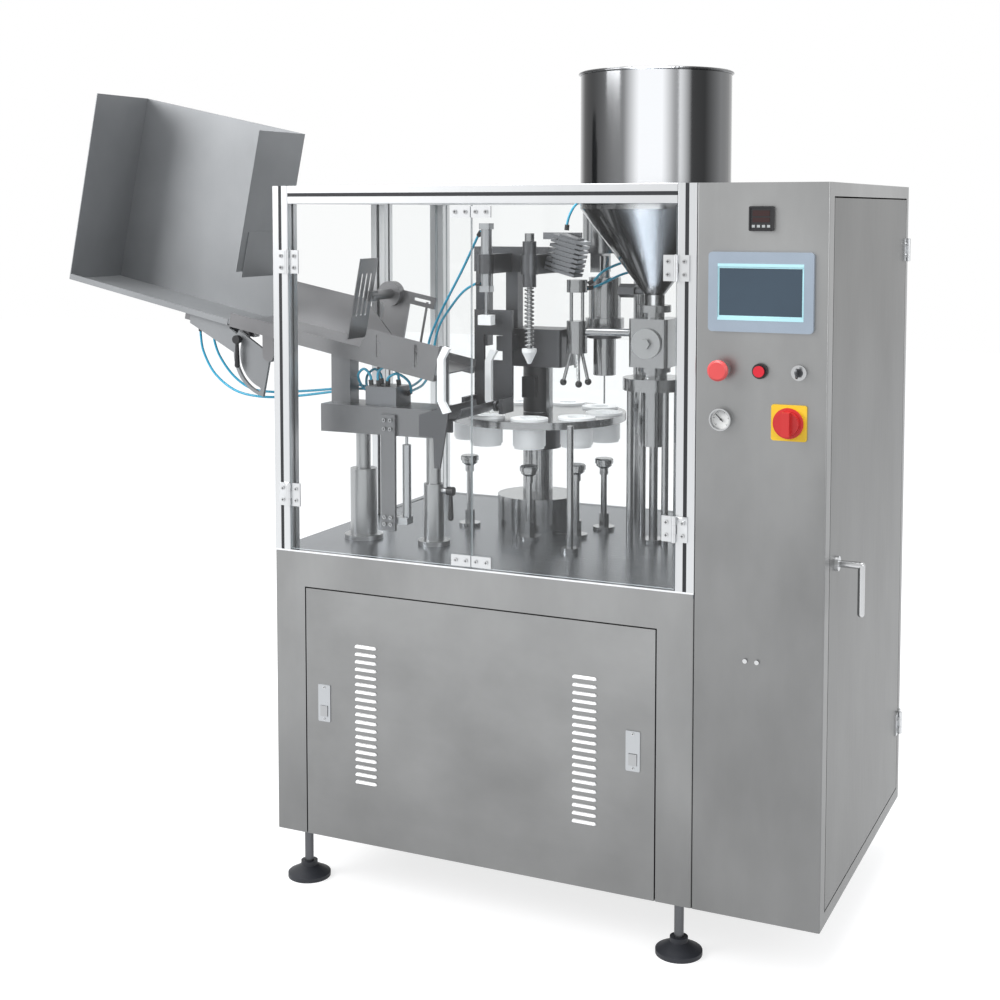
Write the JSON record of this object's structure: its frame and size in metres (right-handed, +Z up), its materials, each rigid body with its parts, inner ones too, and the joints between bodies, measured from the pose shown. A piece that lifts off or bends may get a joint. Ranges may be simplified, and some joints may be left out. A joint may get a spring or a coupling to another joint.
{
  "type": "tube filling machine",
  "caption": "Rotary tube filling and sealing machine: cabinet with guard frame, tilted tube magazine, indexing cup turntable, hopper with piston filler and control tower.",
  "frame": {"origin": "on the floor under the middle of the bounding box", "axes": "+X to the control tower at the right, +Y to the back, +Z up"},
  "size_m": [2.0074, 0.831, 1.848],
  "materials": {
    "sheet_steel": "brushed stainless sheet",
    "table_steel": "fine brushed stainless plate",
    "profile_aluminium": "silver anodised extrusion",
    "clear_acrylic": "clear acrylic sheet",
    "bright_steel": "polished stainless",
    "machined_steel": "turned stainless",
    "polished_steel": "polished stainless",
    "dark_casting": "dark grey satin",
    "anodised_aluminium": "clear anodised",
    "white_plastic": "white engineering plastic",
    "black_plastic": "black moulded plastic",
    "pad_rubber": "dark rubber",
    "panel_plastic": "pale grey moulded bezel",
    "stop_red": "red moulded plastic",
    "switch_yellow": "yellow moulded plastic",
    "drive_paint": "grey-blue enamel",
    "module_plastic": "light grey housings",
    "hose_blue": "blue polyurethane tube"
  },
  "bodies": {
    "machine": {"base_cabinet": "sheet_steel", "table_plate": "table_steel", "control_tower": "sheet_steel", "foot_stems": "machined_steel", "foot_pads": "pad_rubber", "frame_profiles": "profile_aluminium", "guard_panels": "clear_acrylic", "hinge_sets": "bright_steel", "table_bushes": "machined_steel", "centre_column": "machined_steel", "head_block": "dark_casting", "tube_chute": "sheet_steel", "chute_fittings": "sheet_steel", "platform_beam": "dark_casting", "platform_columns": "machined_steel", "air_cylinders": "anodised_aluminium", "tube_guides": "white_plastic", "loader_frame": "dark_casting", "heat_seal_units": "machined_steel", "fill_nozzle": "machined_steel", "filling_pump": "machined_steel", "filler_frame": "machined_steel", "hopper_barrel": "polished_steel", "hopper_cone": "polished_steel", "hmi_panel": "panel_plastic", "panel_instruments": "black_plastic", "switch_plate": "switch_yellow", "electrical_modules": "module_plastic", "drive_unit": "drive_paint", "bin_hoses": "hose_blue", "head_hoses": "hose_blue"},
    "turntable": {"turntable_disc": "machined_steel", "turntable_hub": "dark_casting", "tube_cups": "white_plastic"},
    "left_door": {"left_door": "clear_acrylic", "left_door_fittings": "bright_steel"},
    "right_door": {"right_door": "clear_acrylic", "right_door_fittings": "bright_steel"},
    "access_panel": {"access_panel": "sheet_steel"},
    "left_latch": {"left_latch": "bright_steel"},
    "right_latch": {"right_latch": "bright_steel"},
    "tower_door": {"tower_door": "sheet_steel", "tower_door_fittings": "bright_steel"},
    "tower_handle": {"tower_handle": "bright_steel"},
    "estop_button": {"estop_button": "stop_red"},
    "start_button": {"start_button": "stop_red"},
    "key_switch": {"key_switch": "bright_steel"},
    "switch_knob": {"switch_knob": "stop_red"},
    "gauge_needle": {"gauge_needle": "black_plastic"},
    "press_rod": {"press_rod": "anodised_aluminium"},
    "cone_spindle": {"cone_spindle": "machined_steel", "spindle_spring": "machined_steel"},
    "valve_rotor": {"valve_rotor": "machined_steel"},
    "piston_rod": {"piston_rod": "machined_steel"},
    "lifter_front": {"lifter_front": "machined_steel"},
    "lifter_side": {"lifter_side": "machined_steel"},
    "tube_cradle": {"tube_cradle": "dark_casting"},
    "tube_bin": {"tube_bin": "sheet_steel"},
    "bin_lever": {"bin_lever": "black_plastic"},
    "column_lever": {"column_lever": "black_plastic"}
  },
  "joints": [
    {"name": "turntable_index", "type": "hinge", "parent": "machine", "child": "turntable", "pos_m": [0.13069, 0.1085, 0.776], "axis": [0, 0, 1], "continuous": true},
    {"name": "left_door_swing", "type": "hinge", "parent": "machine", "child": "left_door", "pos_m": [-0.26231, -0.3855, 0.776], "axis": [0, 0, 1], "range_deg": [-110, 0]},
    {"name": "right_door_swing", "type": "hinge", "parent": "machine", "child": "right_door", "pos_m": [0.64369, -0.3855, 0.776], "axis": [0, 0, 1], "range_deg": [0, 110]},
    {"name": "access_panel_pull", "type": "slide", "parent": "machine", "child": "access_panel", "axis": [0, -1, 0], "range_m": [0, 0.3]},
    {"name": "left_latch_push", "type": "slide", "parent": "access_panel", "child": "left_latch", "axis": [0, 1, 0], "range_m": [0, 0.003], "stiffness_N_per_m": 800},
    {"name": "right_latch_push", "type": "slide", "parent": "access_panel", "child": "right_latch", "axis": [0, 1, 0], "range_m": [0, 0.003], "stiffness_N_per_m": 800},
    {"name": "tower_door_swing", "type": "hinge", "parent": "machine", "child": "tower_door", "pos_m": [0.95269, 0.387, 0.776], "axis": [0, 0, 1], "range_deg": [0, 120]},
    {"name": "tower_handle_turn", "type": "hinge", "parent": "tower_door", "child": "tower_handle", "pos_m": [0.94669, -0.2835, 0.842], "axis": [1, 0, 0], "range_deg": [0, 90]},
    {"name": "estop_press", "type": "slide", "parent": "machine", "child": "estop_button", "axis": [0, 1, 0], "range_m": [0, 0.005], "stiffness_N_per_m": 2000},
    {"name": "start_press", "type": "slide", "parent": "machine", "child": "start_button", "axis": [0, 1, 0], "range_m": [0, 0.003], "stiffness_N_per_m": 1500},
    {"name": "key_turn", "type": "hinge", "parent": "machine", "child": "key_switch", "pos_m": [0.89269, -0.3795, 1.227], "axis": [0, -1, 0], "range_deg": [-90, 0]},
    {"name": "switch_turn", "type": "hinge", "parent": "machine", "child": "switch_knob", "pos_m": [0.87369, -0.3795, 1.129], "axis": [0, -1, 0], "range_deg": [-90, 0]},
    {"name": "gauge_sweep", "type": "hinge", "parent": "machine", "child": "gauge_needle", "pos_m": [0.73869, -0.3795, 1.129], "axis": [0, -1, 0], "range_deg": [-180, 90]},
    {"name": "press_stroke", "type": "slide", "parent": "machine", "child": "press_rod", "axis": [0, 0, 1], "range_m": [-0.12, 0]},
    {"name": "spindle_lift", "type": "slide", "parent": "machine", "child": "cone_spindle", "axis": [0, 0, 1], "range_m": [0, 0.025], "stiffness_N_per_m": 400, "springref_m": -0.04, "deforming": ["spindle_spring"]},
    {"name": "valve_turn", "type": "hinge", "parent": "machine", "child": "valve_rotor", "pos_m": [0.44869, 0.0445, 1.238], "axis": [0, -1, 0], "range_deg": [0, 90]},
    {"name": "piston_stroke", "type": "slide", "parent": "machine", "child": "piston_rod", "axis": [0, 0, 1], "range_m": [0, 0.08]},
    {"name": "front_lifter_rise", "type": "slide", "parent": "machine", "child": "lifter_front", "axis": [0, 0, 1], "range_m": [0, 0.038]},
    {"name": "side_lifters_rise", "type": "slide", "parent": "machine", "child": "lifter_side", "axis": [0, 0, 1], "range_m": [0, 0.038]},
    {"name": "cradle_tip", "type": "hinge", "parent": "machine", "child": "tube_cradle", "pos_m": [0.06516, -0.05443, 1.0835], "axis": [1, 0, 0], "range_deg": [-90, 0]},
    {"name": "magazine_tilt", "type": "hinge", "parent": "machine", "child": "tube_bin", "pos_m": [-0.41831, -0.2195, 1.197], "axis": [0, 1, 0], "range_deg": [0, 15]},
    {"name": "bin_lever_swing", "type": "hinge", "parent": "machine", "child": "bin_lever", "pos_m": [-0.50268, -0.2335, 1.23109], "axis": [0, -1, 0], "range_deg": [-35, 35]},
    {"name": "column_lever_swing", "type": "hinge", "parent": "machine", "child": "column_lever", "pos_m": [0.04469, -0.1895, 0.901], "axis": [1, 0, 0], "range_deg": [-30, 30]}
  ]
}
